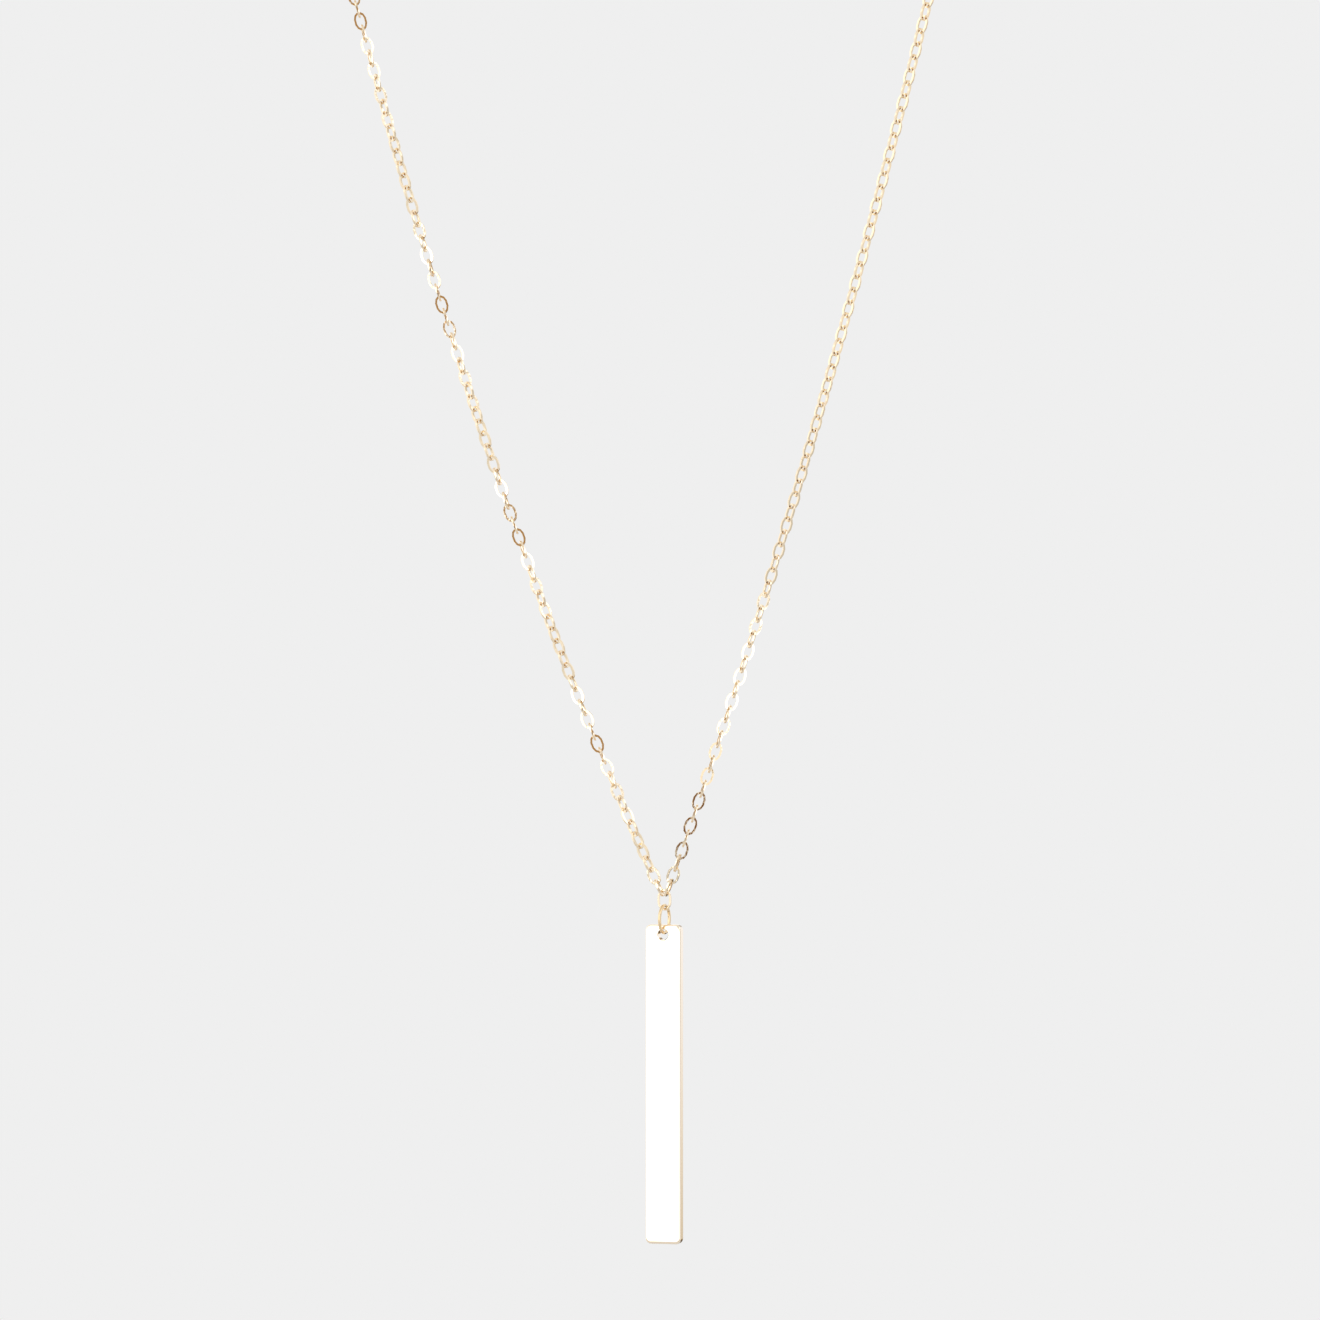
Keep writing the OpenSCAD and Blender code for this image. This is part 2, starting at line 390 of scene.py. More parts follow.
@dataclass(frozen=True)
class Finishes:
    """The necklace's finished materials, made once and shared."""

    bar: bpy.types.Material
    rings: bpy.types.Material
    drop: bpy.types.Material
    chain: bpy.types.Material
    fittings: bpy.types.Material

    @classmethod
    def build(cls) -> "Finishes":
        """Makes every finish and returns the set."""
        return cls(
            bar=GoldPlate(
                "gold_bar",
                Polish.DRAWN_UPRIGHT,
                face_tone=(0.94, 0.82, 0.67),
                rim_tone=(0.92, 0.82, 0.69),
            ).build(),
            rings=GoldPlate("gold_rings", Polish.TUMBLED, face_roughness=0.05).build(),
            drop=GoldPlate(
                "gold_drop_ring",
                Polish.TUMBLED,
                face_tone=(0.84, 0.67, 0.43),
                rim_tone=(0.79, 0.60, 0.36),
            ).build(),
            chain=GoldPlate(
                "gold_chain",
                Polish.TUMBLED,
                face_roughness=0.06,
                rim_roughness=0.16,
                wave_size_mm=0.4,
                wave_height_mm=0.025,
            ).build(),
            fittings=GoldPlate("gold_fittings", Polish.TUMBLED, face_roughness=0.06).build(),
        )


def place_piece(
    piece: bpy.types.Object,
    material: bpy.types.Material,
    body: str,
    node: str,
) -> None:
    """Dresses a piece and ties it to the frame.

    Args:
        piece: The finished mesh.
        material: Its finish.
        body: The body that it moves with.
        node: The solid that it stands for.
    """
    piece.data.materials.clear()
    piece.data.materials.append(material)
    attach(piece, body)
    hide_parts(node)
    LOG.info("%s: %d faces, for %s", piece.name, len(piece.data.polygons), node)


# The route of the chain

@dataclass(frozen=True)
class Leg:
    """One side of the loop: a catenary from the pendant up, then an arc over the top.

    Attributes:
        side: -1 on the left, 1 on the right.
        slope: Slope at the leg's foot, where the pendant hangs.
        curve: How much steeper the leg gets in each millimetre of its length.
        settle: Turn that the lowest links take on until they have settled, in degrees.
        lower_twist: Further turn from link to link on the lower leg.
        upper_twist: Further turn from link to link on the upper leg and behind.
        links: How many links the leg has.
        length: Length of the catenary.
        foot_apart: Distance of the leg's foot from the upright through the pendant.
        settling_links: How many links it takes to settle.
        lower_links: How many links the lower leg has.
    """

    side: int
    slope: float
    curve: float
    settle: float
    lower_twist: float
    upper_twist: float
    links: int
    length: float = 148.5
    foot_apart: float = 0.19
    settling_links: int = 5
    lower_links: int = 47

    def slope_at(self, s: float) -> float:
        """Slope of the leg at a distance s along it."""
        return self.slope + self.curve * s

    def run(self, s: float) -> float:
        """Distance that the leg has gone sideways at s."""
        return (math.asinh(self.slope_at(s)) - math.asinh(self.slope)) / self.curve

    def rise(self, s: float) -> float:
        """Height that the leg has gained at s."""
        return (math.hypot(1, self.slope_at(s)) - math.hypot(1, self.slope)) / self.curve

    def heading(self, s: float) -> Vector:
        """Direction of the leg at s, pointing away from the pendant."""
        return Vector((self.side, 0, self.slope_at(s))).normalized()

    @property
    def tilt(self) -> float:
        """Angle between the leg's top end and the vertical."""
        return math.atan(1 / self.slope_at(self.length))

    def turn(self, index: int) -> float:
        """Turn of a link about the chain, in degrees."""
        settled = self.settle * min(1, index / self.settling_links)
        lower = self.lower_twist * min(index, self.lower_links)
        upper = self.upper_twist * max(0, index - self.lower_links)
        return QUARTER * (index + 1) + settled + lower + upper


LEFT_LEG = Leg(side=-1, slope=2.08, curve=0.0145, settle=-11, lower_twist=-5.1, upper_twist=-3.7, links=72)
RIGHT_LEG = Leg(side=1, slope=2.72, curve=0.012, settle=9.75, lower_twist=1.25, upper_twist=-0.15, links=71)


@dataclass
class Loop:
    """The whole loop: both legs and the two arcs that meet level at the origin."""

    left: Leg = LEFT_LEG
    right: Leg = RIGHT_LEG

    def __post_init__(self) -> None:
        """Works out the arcs' radii and where the feet of the legs lie."""
        low, high = self.left, self.right
        spread = low.foot_apart + high.foot_apart + low.run(low.length) + high.run(high.length)
        step = high.rise(high.length) - low.rise(low.length)
        sines = (1 + math.sin(low.tilt), 1 + math.sin(high.tilt))
        cosines = (math.cos(low.tilt), math.cos(high.tilt))
        shared = cosines[0] * sines[1] + cosines[1] * sines[0]
        self.arc_left = (spread * sines[1] + step * cosines[1]) / shared
        self.arc_right = (spread * sines[0] - step * cosines[0]) / shared
        feet_x = low.foot_apart + low.run(low.length) - self.arc_left * cosines[0]
        feet_z = -low.rise(low.length) - self.arc_left * sines[0]
        self.feet = Vector((feet_x, 0, feet_z))

    def arc(self, leg: Leg) -> float:
        """Radius of the arc that carries a leg over the top."""
        return self.arc_left if leg.side < 0 else self.arc_right

    def side_length(self, leg: Leg) -> float:
        """Length from a leg's foot to the origin."""
        return leg.length + self.arc(leg) * (math.pi / 2 + leg.tilt)

    def at(self, leg: Leg, s: float) -> tuple[Vector, Vector]:
        """Finds a place on the loop.

        Args:
            leg: The side of the loop.
            s: Distance along it from its foot.

        Returns:
            The point and the direction of the chain there.
        """
        low = min(s, leg.length)
        forward = leg.heading(low)
        inward = Vector((-leg.side * forward.z, 0, leg.side * forward.x))
        radius = self.arc(leg)
        angle = max(0.0, s - leg.length) / radius
        on_leg = Vector((leg.side * (leg.foot_apart + leg.run(low)), 0, leg.rise(low)))
        over = radius * (1 - math.cos(angle)) * inward + radius * math.sin(angle) * forward
        return self.feet + on_leg + over, forward * math.cos(angle) + inward * math.sin(angle)


# The pieces

@dataclass
class OvalLink:
    """An oval link of flattened wire: a ring of wire that is parted in the middle.

    Attributes:
        wire: Width of the wire, seen on the link's face.
        thickness: Depth of the wire, across the link's face.
        flat: Share of the wire's width that each flat face takes up.
        roundness: 0 parts the ring with straight sides, and 1 stretches it to an ellipse.
        sharp_degrees: Angle past which an edge stays sharp.
    """

    length: float = 2.1
    width: float = 1.4
    wire: float = 0.26
    thickness: float = 0.24
    flat: float = 0.84
    roundness: float = 0.7
    segments: int = 12
    sides: int = 6
    sharp_degrees: float = 75.0

    @property
    def reach(self) -> float:
        """Distance from the middle of the link to the middle of the wire at its end."""
        return (self.length - self.wire) / 2

    @property
    def half_step(self) -> float:
        """Angle from the ring's axes to the nearest section, half of that between two sections."""
        return math.pi / self.segments

    def build(self, name: str) -> bpy.types.Object:
        """Models the link at the origin, its length along Y and its face along Z.

        Args:
            name: Name of the new object.

        Returns:
            The finished link.
        """
        middle = (self.width - self.wire) / 2 / math.cos(self.half_step)
        turn = (0, 0, self.half_step)
        link = wire_ring(name, middle, self.wire, turn=turn, steps=self.segments, sides=self.sides)
        for side in (-1, 1):
            drawn = middle + side * self.wire / 4
            wide = middle + side * self.wire / 2 * self.flat
            with editing(link, "VERT") as mesh:
                select(mesh, mesh.verts, lambda v: abs(v.co.xy.length - drawn * MM) < self.wire / 8 * MM)
                bpy.ops.transform.resize(value=(wide / drawn, wide / drawn, 1), center_override=(0, 0, 0))
        self.draw_out(link)
        section_height = self.wire * max(abs(math.sin(math.tau * k / self.sides)) for k in range(self.sides))
        with editing(link, "VERT"):
            bpy.ops.mesh.select_all(action="SELECT")
            bpy.ops.transform.resize(value=(1, 1, self.thickness / section_height), center_override=(0, 0, 0))
        face = self.thickness / 2 * MM
        mark_rim(link, lambda p: (face - abs(p.z)) / face)
        polish_normals(link, self.sharp_degrees)
        return link

    def draw_out(self, link: bpy.types.Object) -> None:
        """Draws a round ring out into an oval, from its ends to its middle, with its wire kept as wide.

        Args:
            link: The ring, around the origin, whose sections lie half a step off its axes.
        """
        tolerance = 0.01
        for index in reversed(range(self.segments // 4)):
            up = math.sin((2 * index + 1) * self.half_step)
            shift = (self.length - self.width) / 2 * (up / math.cos(self.half_step)) ** self.roundness
            for side in (-1, 1):
                with editing(link, "VERT") as mesh:
                    select(mesh, mesh.verts, lambda v: abs(side * v.co.y / v.co.xy.length - up) < tolerance)
                    bpy.ops.transform.translate(value=(0, side * shift * MM, 0))


@dataclass
class CableChain:
    """The fine cable chain: real links all the way round, each turned a quarter from its neighbours.

    Attributes:
        pitch: Distance from link to link along the legs.
        hook_air: Air between the last link and the fitting that it hooks in.
        wobble_degrees: How far a link hangs off true, as a spread.
    """

    loop: Loop
    link: OvalLink = field(default_factory=OvalLink)
    pitch: float = 1.44
    hook_air: float = 0.06
    wobble_degrees: float = 0.8
    seed: int = 17

    def frame_of(self, leg: Leg, s: float, turn: float, wobble: Euler) -> Matrix:
        """Finds how a link lies.

        Args:
            leg: The side of the loop.
            s: Distance of the link's middle along it, in millimetres.
            turn: Turn about the chain, in degrees.
            wobble: Small tilt by which the link hangs off true.

        Returns:
            The matrix that takes the model link to its place.
        """
        point, heading = self.loop.at(leg, s)
        level = Vector((heading.z, 0, -heading.x))
        across = level * math.cos(math.radians(turn)) + Y_AXIS * math.sin(math.radians(turn))
        axes = Matrix((across, heading, across.cross(heading))).transposed()
        return Matrix.Translation(point * MM) @ axes.to_4x4() @ wobble.to_matrix().to_4x4()

    def last_centre(self, leg: Leg, far_wire: float, wire: float) -> float:
        """Finds where the last link lies, which hooks in a fitting.

        Args:
            leg: The side of the loop.
            far_wire: Distance from the origin to the fitting's far wire.
            wire: The fitting's wire.

        Returns:
            Distance of the link's middle along the leg.
        """
        hook = self.link.wire / 2 + (wire / 2 + self.hook_air)
        return self.loop.side_length(leg) - far_wire + hook - self.link.reach

    def rows(self, leg: Leg, last_centre: float, last_turn: float) -> tuple[Rows, Rows]:
        """Lists the links of one side, first those of the leg, then the hidden ones.

        Args:
            leg: The side of the loop.
            last_centre: Distance of the last hidden link's middle along it.
            last_turn: Turn that the last hidden link needs, in degrees, to hook in the fitting.

        Returns:
            The two lists.
        """
        start = self.link.reach
        shown = [(start + i * self.pitch, leg.turn(i)) for i in range(leg.links)]
        edge, edge_turn = shown[-1]
        count = round((last_centre - edge) / self.pitch)
        step = (last_centre - edge) / count
        turn_step = QUARTER + leg.upper_twist
        spare = (last_turn - (edge_turn + count * turn_step) + QUARTER) % (2 * QUARTER) - QUARTER
        turn_step += spare / count
        hidden = [(edge + (i + 1) * step, edge_turn + (i + 1) * turn_step) for i in range(count)]
        return shown, hidden

    def lay(self, model: bpy.types.Object, leg: Leg, rows: Rows, name: str) -> bpy.types.Object:
        """Copies the model link to every place in a list and joins the copies.

        Args:
            model: The model link.
            leg: The side of the loop.
            rows: Where the links lie.
            name: Name of the joined object.

        Returns:
            The joined links.
        """
        chance = random.Random(f"{self.seed} {name}")
        copies = []
        for s, turn in rows:
            wobble = Euler([math.radians(chance.gauss(0, self.wobble_degrees)) for _ in range(3)])
            copy = model.copy()
            copy.data = model.data.copy()
            copy.data.transform(self.frame_of(leg, s, turn, wobble))
            bpy.context.scene.collection.objects.link(copy)
            copies.append(copy)
        return join(copies, name)

    def build(self, material: bpy.types.Material, clasp: "SpringRing", end_ring: "EndRing") -> None:
        """Makes the two legs and the hidden stretch behind.

        Args:
            material: The chain's finish.
            clasp: The fitting that the right side ends in.
            end_ring: The fitting that the left side ends in.
        """
        model = self.link.build("model_link")
        left, right = self.loop.left, self.loop.right
        left_end = self.last_centre(left, end_ring.far_wire(clasp), end_ring.wire)
        right_end = self.last_centre(right, clasp.far_wire, clasp.eyelet_wire)
        left_rows, left_hidden = self.rows(left, left_end, 0)
        right_rows, right_hidden = self.rows(right, right_end, QUARTER)
        legs = (
            (self.lay(model, left, left_rows, "links_left"), "chain_left"),
            (self.lay(model, right, right_rows, "links_right"), "chain_right"),
        )
        for piece, node in legs:
            place_piece(piece, material, "necklace", node)
        back = [
            self.lay(model, left, left_hidden, "links_back_left"),
            self.lay(model, right, right_hidden, "links_back_right"),
        ]
        place_piece(join(back, "links_back"), material, "necklace", "chain_back")
        bpy.data.objects.remove(model)


@dataclass
class Bar:
    """The upright flat bar, drilled near its top for the jump ring.

    Attributes:
        wire_place: Where the jump ring's wire runs through the bar.
        ring_radius: Radius of the jump ring down the middle of its wire.
        ring_wire: The jump ring's wire.
        corner: Radius of the face's corners.
        edge: Softening of the upright edges.
        end_edge: Softening of the level edges at both ends.
        hole: Diameter of the hole.
        chamfer: Depth of the hole's soft rim.
        hole_air: Air between the jump ring's wire and the hole.
        top_above_wire: Height of the bar's top over the jump ring's wire.
    """

    wire_place: Vector
    ring_radius: float
    ring_wire: float
    length: float = 35.0
    width: float = 4.0
    thickness: float = 1.2
    corner: float = 0.6
    corner_steps: int = 8
    edge: float = 0.12
    end_edge: float = 0.3
    edge_steps: int = 6
    hole: float = 1.2
    hole_sides: int = 64
    chamfer: float = 0.06
    hole_air: float = 0.08
    top_above_wire: float = 0.92
    sharp_degrees: float = 40.0

    @property
    def hole_centre(self) -> Vector:
        """Middle of the hole, whose top rests on the ring's wire where that bends away from the bar."""
        inner = self.ring_radius - self.ring_wire / 2 - self.hole_air
        hole_top = self.ring_radius - math.sqrt(inner**2 - (self.thickness / 2) ** 2)
        return self.wire_place + Vector((0, 0, hole_top - self.hole / 2))

    def blank(self) -> bpy.types.Object:
        """Models the bar before drilling: a block with rounded corners and softened edges."""
        top = self.wire_place.z + self.top_above_wire
        deselect_all()
        bpy.ops.mesh.primitive_cube_add(
            size=MM,
            location=Vector((self.wire_place.x, 0, top - self.length / 2)) * MM,
            scale=(self.width, self.thickness, self.length),
        )
        blank = active_piece("polished_bar")
        face = self.thickness / 2 * MM
        with editing(blank, "EDGE") as mesh:
            select(mesh, mesh.edges, lambda e: abs(e.verts[0].co.y - e.verts[1].co.y) > face)
            bpy.ops.mesh.bevel(offset=self.corner * MM, segments=self.corner_steps, affect="EDGES")
        self.weigh_edges(blank.data, face)
        apply_modifier(
            blank,
            "BEVEL",
            width=self.end_edge * MM,
            segments=self.edge_steps,
            limit_method="WEIGHT",
        )
        return blank

    def weigh_edges(self, mesh: bpy.types.Mesh, face: float) -> None:
        """Says how far each edge round the face and the back is softened.

        Args:
            mesh: The bar's mesh, with its corners rounded.
            face: Distance from the middle to the face, in metres.
        """
        nearly = 0.995
        weights = mesh.attributes.new("bevel_weight_edge", "FLOAT", "EDGE")
        for index, edge in enumerate(mesh.edges):
            start, end = (mesh.vertices[v].co for v in edge.vertices)
            if abs(start.y + end.y) > 2 * nearly * face:
                across = abs(end.x - start.x) / (end - start).length
                weights.data[index].value = (self.edge + (self.end_edge - self.edge) * across) / self.end_edge

    def drill(self) -> bpy.types.Object:
        """Models the drill for the hole: a rod that flares where it leaves each face."""
        straight = self.thickness - 2 * self.chamfer
        # The flare runs on past the face, so that it cuts the whole rim.
        flare = 3 * self.chamfer
        squarely = 0.9
        deselect_all()
        bpy.ops.mesh.primitive_cylinder_add(
            vertices=self.hole_sides,
            radius=self.hole / 2 * MM,
            depth=straight * MM,
            location=self.hole_centre * MM,
            rotation=(math.pi / 2, 0, 0),
        )
        drill = active_piece("drill")
        for side in (-1, 1):
            with editing(drill, "FACE") as mesh:
                select(mesh, mesh.faces, lambda f: f.normal.y * side > squarely)
                bpy.ops.mesh.extrude_region_move(TRANSFORM_OT_translate={"value": (0, side * flare * MM, 0)})
                wide = (self.hole / 2 + flare) / (self.hole / 2)
                centre = (self.hole_centre + Vector((0, side * (straight / 2 + flare), 0))) * MM
                bpy.ops.transform.resize(value=(wide, 1, wide), center_override=centre)
        return drill

    def build(self, material: bpy.types.Material) -> None:
        """Makes the drilled bar and hangs it on its body."""
        bar = self.blank()
        combine(bar, self.drill(), "DIFFERENCE")
        face = self.thickness / 2 * MM
        mark_rim(bar, lambda p: (face - abs(p.y)) / (self.edge * MM))
        polish_normals(bar, self.sharp_degrees)
        place_piece(bar, material, "pendant", "bar")


@dataclass(kw_only=True)
class RoundRing:
    """A ring of round wire, which is finished alike all round.

    Attributes:
        diameter: Outer diameter.
        wire: Diameter of the wire.
        rim: How far its finish is that of a rim.
        sharp_degrees: Angle past which an edge stays sharp.
    """

    diameter: float
    wire: float
    rim: float = 0.35
    sharp_degrees: float = 40.0

    @property
    def radius(self) -> float:
        """Radius of the ring down the middle of its wire."""
        return (self.diameter - self.wire) / 2

    def polish(self, ring: bpy.types.Object) -> None:
        """Polishes the finished mesh of the ring."""
        mark_rim(ring, lambda p: self.rim)
        polish_normals(ring, self.sharp_degrees)


@dataclass(kw_only=True)
class JumpRing(RoundRing):
    """The round wire ring, with the hairline joint where its ends meet.

    Attributes:
        wire_place: Where its wire runs through the bar.
        turn_degrees: Turn about the upright, off square to the bar.
        joint: Width of the joint.
        joint_degrees: Place of the joint, from the rear upwards.
    """

    wire_place: Vector
    diameter: float = 3.36
    wire: float = 0.36
    turn_degrees: float = -5.0
    joint: float = 0.03
    joint_degrees: float = 35.0
    steps: int = 96

    def saw(self, centre: Vector, turn: Matrix) -> bpy.types.Object:
        """Models the blade that cuts the joint.

        Args:
            centre: Middle of the ring.
            turn: The ring's turn about the upright.

        Returns:
            The blade, where it crosses the wire.
        """
        angle = math.radians(self.joint_degrees)
        out = turn @ Vector((0, math.cos(angle), math.sin(angle)))
        pose = turn @ Matrix.Rotation(angle, 4, "X")
        deselect_all()
        bpy.ops.mesh.primitive_cube_add(
            size=MM,
            location=(centre + out * self.radius) * MM,
            rotation=pose.to_euler(),
            scale=(2 * self.wire, 2 * self.wire, self.joint),
        )
        return active_piece("saw")

    def build(self, material: bpy.types.Material) -> None:
        """Makes the ring, cuts its joint and hangs it on its body."""
        centre = self.wire_place + Vector((0, 0, self.radius))
        turn = Matrix.Rotation(math.radians(self.turn_degrees), 4, "Z")
        upright = (turn @ Matrix.Rotation(math.pi / 2, 4, "Y")).to_euler()
        ring = wire_ring("jump_ring_wire", self.radius, self.wire, centre * MM, upright, self.steps)
        combine(ring, self.saw(centre, turn), "DIFFERENCE")
        self.polish(ring)
        place_piece(ring, material, "drop_ring", "jump_ring")


@dataclass
class CentreLink:
    """The upright oval link between the jump ring and the two legs.

    Attributes:
        swivel: Where the jump ring hangs in it.
        flattening: Depth of the wire as a share of its width.
    """

    swivel: Vector
    length: float = 2.35
    width: float = 1.58
    wire: float = 0.28
    flattening: float = 0.94

    @property
    def shape(self) -> OvalLink:
        """The link's shape: rounder in its wire and at its ends than a link of the chain, and finer."""
        return OvalLink(
            length=self.length,
            width=self.width,
            wire=self.wire,
            thickness=self.wire * self.flattening,
            flat=0.5,
            roundness=0.35,
            segments=24,
            sides=12,
            sharp_degrees=40.0,
        )

    def build(self, material: bpy.types.Material) -> None:
        """Makes the link and hangs it where the jump ring swings."""
        link = self.shape.build("centre_link_wire")
        upright = Matrix.Rotation(math.pi / 2, 4, "X")
        centre = self.swivel + Vector((0, 0, self.shape.reach))
        link.data.transform(Matrix.Translation(centre * MM) @ upright)
        place_piece(link, material, "necklace", "centre_link")


@dataclass(kw_only=True)
class SpringRing(RoundRing):
    """The plain ring clasp with its soldered eyelet and the knob of its lever.

    Attributes:
        knob_length: How far the knob stands out from the middle of the wire.
        knob_degrees: Place of the knob, from the right upwards.
        knob_edge: Rounding of the knob's end.
    """

    diameter: float = 5.5
    wire: float = 1.2
    eyelet_diameter: float = 2.0
    eyelet_wire: float = 0.45
    knob_length: float = 1.1
    knob_diameter: float = 0.5
    knob_degrees: float = 125.0
    knob_sides: int = 32
    knob_edge: float = 0.09
    knob_edge_steps: int = 4
    rim: float = 0.3
    sharp_degrees: float = 35.0

    @property
    def eyelet_radius(self) -> float:
        """Radius of the eyelet down the middle of its wire."""
        return (self.eyelet_diameter - self.eyelet_wire) / 2

    @property
    def eyelet_x(self) -> float:
        """Distance of the eyelet's middle from the clasp's."""
        return (self.diameter + self.eyelet_diameter - self.eyelet_wire) / 2

    @property
    def far_wire(self) -> float:
        """Distance from the origin to the eyelet's far wire."""
        return self.eyelet_x + self.eyelet_radius

    def knob(self) -> bpy.types.Object:
        """Models the lever's knob: a short rod with a rounded end."""
        tolerance = 0.05
        angle = math.radians(self.knob_degrees)
        out = Vector((math.cos(angle), 0, math.sin(angle)))
        deselect_all()
        bpy.ops.mesh.primitive_cylinder_add(
            vertices=self.knob_sides,
            radius=self.knob_diameter / 2 * MM,
            depth=self.knob_length * MM,
            location=out * (self.radius + self.knob_length / 2) * MM,
            rotation=Vector((0, 0, 1)).rotation_difference(out).to_euler(),
        )
        knob = active_piece("knob")
        tip = (self.radius + self.knob_length - tolerance) * MM
        with editing(knob, "EDGE") as mesh:
            select(mesh, mesh.edges, lambda e: min(v.co.dot(out) for v in e.verts) > tip)
            bpy.ops.mesh.bevel(offset=self.knob_edge * MM, segments=self.knob_edge_steps, affect="EDGES")
        return knob

    def build(self, material: bpy.types.Material) -> None:
        """Makes the clasp as one soldered piece and lays it at the top of the loop."""
        upright = (math.pi / 2, 0, 0)
        place = (self.eyelet_x * MM, 0, 0)
        clasp = wire_ring("ring_clasp", self.radius, self.wire, turn=upright)
        eyelet = wire_ring("eyelet", self.eyelet_radius, self.eyelet_wire, place, upright)
        combine(clasp, eyelet, "UNION")
        combine(clasp, self.knob(), "UNION")
        self.polish(clasp)
        place_piece(clasp, material, "necklace", "clasp")


@dataclass(kw_only=True)
class EndRing(RoundRing):
    """The soldered ring at the end of the chain, which the clasp closes on.

    Attributes:
        rest_gap: Air between the ring and the clasp.
    """

    diameter: float = 3.6
    wire: float = 0.6
    rest_gap: float = 0.105
    sharp_degrees: float = 60.0

    def distance(self, clasp: SpringRing) -> float:
        """Distance of the ring's middle from the origin, along the chain."""
        return clasp.radius - (clasp.wire + self.wire) / 2 - self.rest_gap + self.radius

    def far_wire(self, clasp: SpringRing) -> float:
        """Distance from the origin to the ring's far wire."""
        return self.distance(clasp) + self.radius

    def build(self, loop: Loop, clasp: SpringRing, material: bpy.types.Material) -> None:
        """Makes the ring and lays it flat across the loop, hooked in the clasp.

        Args:
            loop: The route of the chain.
            clasp: The clasp that holds the ring.
            material: The ring's finish.
        """
        point, heading = loop.at(loop.left, loop.side_length(loop.left) - self.distance(clasp))
        across = (0, -math.atan2(heading.z, heading.x), 0)
        ring = wire_ring("end_ring_wire", self.radius, self.wire, point * MM, across)
        self.polish(ring)
        place_piece(ring, material, "necklace", "end_ring")


# The studio

@dataclass(frozen=True)
class Panel:
    """A soft oval region of the studio that the metal mirrors.

    Attributes:
        label: What it is for, or where it stands.
        azimuth: Its direction in degrees, from the front towards the right.
        elevation: Its direction in degrees, from level upwards.
        half_width: Half its width, in degrees.
        half_height: Half its height, in degrees.
        feather: How softly it fades, as a share of its size.
        colour: Its colour and brightness.
    """

    label: str
    azimuth: float
    elevation: float
    half_width: float
    half_height: float
    feather: float
    colour: tuple[float, float, float]

    def lay(self, graph: Graph, way: object, tone: object) -> bpy.types.NodeSocket:
        """Mixes the panel into the studio's surroundings.

        Args:
            graph: The world's nodes.
            way: The direction that is looked at.
            tone: The surroundings so far.

        Returns:
            The surroundings with the panel.
        """
        aim = Euler((math.radians(-self.elevation), 0, math.radians(self.azimuth)), "XYZ").to_matrix()
        turn_back = aim.inverted().to_euler("XYZ")
        inputs = {"Vector": way, "Rotation": turn_back}
        turned = graph.add("Mapping", inputs, vector_type="POINT", label=self.label)
        parts = graph.add("SeparateXYZ", {0: turned.outputs[0]}).outputs
        wide = graph.math("DIVIDE", parts[0], math.sin(math.radians(self.half_width)))
        high = graph.math("DIVIDE", parts[2], math.sin(math.radians(self.half_height)))
        squares = graph.math("ADD", graph.math("MULTIPLY", wide, wide), graph.math("MULTIPLY", high, high))
        off = graph.math("SQRT", squares)
        inside = graph.ramp(off, 1 - self.feather, 1 + self.feather, 1.0, 0.0)
        ahead = graph.math("LESS_THAN", parts[1], 0.0)
        mask = graph.math("MULTIPLY", inside, ahead)
        return graph.blend(mask, tone, self.colour)


# The later panels lie over the earlier ones.
PANELS = (
    Panel("front left, white", -21, 26, 10, 38, 0.25, (3.0, 3.0, 2.9)),
    Panel("front right, white", 45, 0, 15, 32, 0.3, (2.1, 2.1, 2.2)),
    Panel("high right, white", 78, 42, 20, 17, 0.4, (2.1, 2.1, 2.2)),
    Panel("overhead, cream", 0, 90, 45, 45, 0.5, (0.88, 0.84, 0.78)),
    Panel("rear right, white", 164, 6, 24, 14, 0.3, (1.05, 1.05, 1.08)),
    Panel("rear right, gold", 164, -15.8, 24, 10.5, 0.3, (0.80, 0.66, 0.40)),
    Panel("rear right, brown", 164, -21, 16, 13, 0.4, (0.16, 0.085, 0.03)),
    Panel("rear, low and dark", 180, -19, 12, 12, 0.6, (0.12, 0.09, 0.06)),
    Panel("rear, high and dim", 180, 17, 8, 7, 0.6, (0.35, 0.28, 0.2)),
    Panel("even links of the upper right leg", -66, 15, 16, 8, 0.5, (1.42, 1.4, 1.32)),
    Panel("odd links of the upper right leg", 113, -13, 15, 8, 0.5, (0.92, 0.88, 0.8)),
    Panel("white links of the left leg", -5, 7, 5.5, 8, 0.4, (2.0, 1.95, 1.8)),
    Panel("cream links of the lower right leg", 25.5, -15, 7, 7, 0.5, (1.15, 1.1, 1.0)),
    Panel("dark links of the left leg", 16.5, 10.5, 15, 14, 0.3, (0.45, 0.29, 0.14)),
    Panel("dark links of the lower right leg", 10.5, -12, 7.5, 13, 0.5, (0.22, 0.11, 0.04)),
)


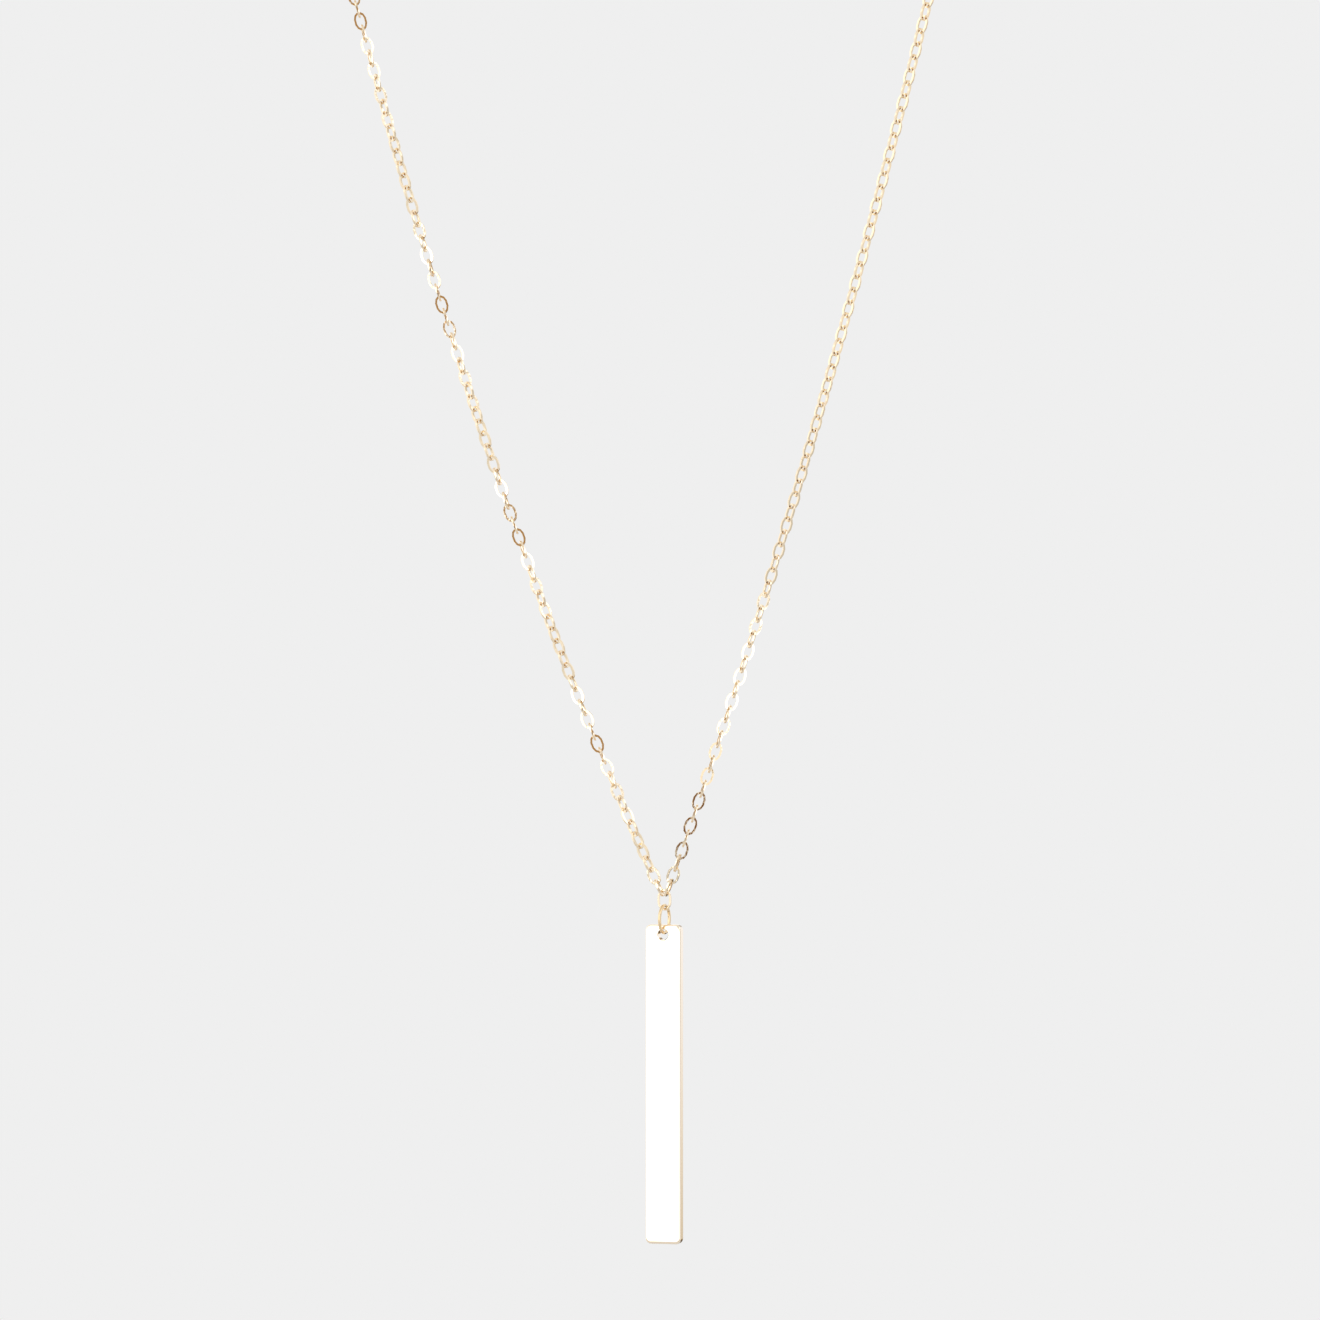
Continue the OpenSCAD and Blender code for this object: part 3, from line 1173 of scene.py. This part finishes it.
@dataclass(frozen=True)
class FloorPaint:
    """The floor's matt pale finish, which fades out towards the edge.

    Attributes:
        tones: Darkest and lightest grey of its grain.
        grain_scale: Repeats of the grain in a metre.
        grain_detail: Fineness of the grain.
        roughness: How matt it is.
        fade_from: Where it begins to fade, as a share of the radius.
        fade_to: Where it has faded out, as a share of the radius.
    """

    radius: float
    tones: tuple[float, float] = (0.72, 0.76)
    grain_scale: float = 900.0
    grain_detail: float = 3.0
    roughness: float = 0.9
    fade_from: float = 0.5
    fade_to: float = 0.97

    def build(self) -> bpy.types.Material:
        """Makes the material and returns it."""
        material = bpy.data.materials.new("pale_floor")
        material.use_nodes = True
        graph = Graph(material.node_tree)
        place = graph.add("TexCoord").outputs["Object"]
        flat = graph.add("Mapping", {"Vector": place, "Scale": (1, 1, 0)}).outputs[0]
        out = graph.add("VectorMath", {0: flat}, operation="LENGTH").outputs["Value"]
        fade = graph.ramp(out, self.fade_from * self.radius * MM, self.fade_to * self.radius * MM, 1.0, 0.0)
        grain = graph.noise(place, self.grain_scale, self.grain_detail)
        low, high = self.tones
        tone = graph.add("MapRange", {"Value": grain, "To Min": low, "To Max": high}).outputs[0]
        colour = graph.add("CombineColor", {0: tone, 1: tone, 2: tone}).outputs[0]
        inputs = {"Base Color": colour, "Roughness": self.roughness, "Alpha": fade}
        surface = graph.add("BsdfPrincipled", inputs)
        graph.add("OutputMaterial", {"Surface": surface.outputs[0]})
        return material


@dataclass
class Studio:
    """The plain studio: camera, pale surroundings, soft panels and floor.

    Attributes:
        azimuth: How far the camera stands to the right of the bar's front, in degrees.
        distance: The camera's distance from the upright through the origin.
        axis_height: Height of its axis.
        axis_offset: How far its axis passes to the right of the pendant.
        clip: Nearest and farthest distance that it sees, in metres.
        backdrop: Grey that it sees behind the necklace.
        bright_side: Direction of the brighter surroundings.
        ramp_reach: How far towards it, or away, they are fully bright, or dim.
        dim: Level of the surroundings where they are dim.
        bright: Their level where they are bright.
        blue_share: How much of that level blue has.
        floor_drop: How far the floor lies below the pendant.
    """

    azimuth: float = 16.0
    lens: float = 150.0
    sensor: float = 36.0
    distance: float = 603.45
    axis_height: float = -170.61
    axis_offset: float = -0.483
    clip: tuple[float, float] = (0.01, 20.0)
    backdrop: float = 0.863
    bright_side: tuple[float, float, float] = (-0.61, 0.51, 0.61)
    ramp_reach: float = 0.6
    dim: float = 0.66
    bright: float = 1.15
    blue_share: float = 0.98
    panels: tuple[Panel, ...] = PANELS
    floor_drop: float = 120.0
    floor_radius: float = 420.0
    floor_sides: int = 128

    def aim_camera(self, pendant_x: float) -> None:
        """Sets up the camera.

        Args:
            pendant_x: Where the pendant hangs, in millimetres, which shows just right of the middle.
        """
        turn = math.radians(self.azimuth)
        right = Vector((math.cos(turn), math.sin(turn), 0))
        back = Vector((math.sin(turn), -math.cos(turn), 0))
        across = pendant_x * math.cos(turn) + self.axis_offset
        data = bpy.data.cameras.new("studio_camera")
        data.lens = self.lens
        data.sensor_width = self.sensor
        data.clip_start, data.clip_end = self.clip
        camera = bpy.data.objects.new("studio_camera", data)
        camera.location = (right * across + back * self.distance + Vector((0, 0, self.axis_height))) * MM
        camera.rotation_euler = (math.pi / 2, 0, turn)
        bpy.context.scene.collection.objects.link(camera)
        bpy.context.scene.camera = camera

    def light(self) -> None:
        """Fills the world with the studio's surroundings, which only reflections and the floor see."""
        world = bpy.data.worlds.new("studio")
        world.use_nodes = True
        bpy.context.scene.world = world
        graph = Graph(world.node_tree)
        way = graph.add("TexCoord").outputs["Generated"]
        aims = {0: way, 1: self.bright_side}
        side = graph.add("VectorMath", aims, operation="DOT_PRODUCT").outputs["Value"]
        level = graph.ramp(side, -self.ramp_reach, self.ramp_reach, self.dim, self.bright)
        blue = graph.math("MULTIPLY", level, self.blue_share)
        tone = graph.add("CombineColor", {0: level, 1: level, 2: blue}).outputs[0]
        for panel in self.panels:
            tone = panel.lay(graph, way, tone)
        mirrored = graph.add("Background", {"Color": tone, "Strength": 1.0})
        plain = graph.add("Background", {"Color": (1.0, 1.0, 1.0, 1.0), "Strength": self.backdrop})
        seen = graph.add("LightPath").outputs["Is Camera Ray"]
        both = graph.add("MixShader", {0: seen, 1: mirrored.outputs[0], 2: plain.outputs[0]})
        graph.add("OutputWorld", {"Surface": both.outputs[0]})
        bpy.context.scene.view_settings.view_transform = "Standard"

    def lay_floor(self, lowest: float) -> None:
        """Lays the pale floor, which fades out into the backdrop.

        Args:
            lowest: Height of the necklace's lowest point, in metres.
        """
        deselect_all()
        bpy.ops.mesh.primitive_circle_add(
            vertices=self.floor_sides,
            radius=self.floor_radius * MM,
            fill_type="NGON",
            location=(0, 0, lowest - self.floor_drop * MM),
        )
        floor = active_piece("floor")
        floor.data.materials.append(FloorPaint(self.floor_radius).build())


# The whole necklace

def joint_place(frame: dict, name: str) -> Vector:
    """Finds where a joint of the frame lies.

    Args:
        frame: The loaded frame.
        name: The joint's name.

    Returns:
        Its place in millimetres.
    """
    joint = next(joint for joint in frame["joints"] if joint["name"] == name)
    return Vector(joint["pos_m"]) / MM


def main(frame: dict) -> None:
    """Builds the necklace and its studio in order.

    Args:
        frame: The loaded frame.
    """
    loop = Loop()
    swivel = joint_place(frame, "ring_swing")
    wire_place = joint_place(frame, "bar_swing")
    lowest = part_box("bar")[0].z
    finishes = Finishes.build()
    ring = JumpRing(wire_place=wire_place)
    Bar(wire_place, ring.radius, ring.wire).build(finishes.bar)
    ring.build(finishes.drop)
    CentreLink(swivel).build(finishes.rings)
    clasp = SpringRing()
    end_ring = EndRing()
    clasp.build(finishes.fittings)
    end_ring.build(loop, clasp, finishes.fittings)
    CableChain(loop).build(finishes.chain, clasp, end_ring)
    studio = Studio()
    studio.aim_camera(loop.feet.x)
    studio.light()
    studio.lay_floor(lowest)
    deselect_all()


if __name__ == "__main__":
    logging.basicConfig(level=logging.INFO, format="%(name)s: %(message)s")
    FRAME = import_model()
    main(FRAME)
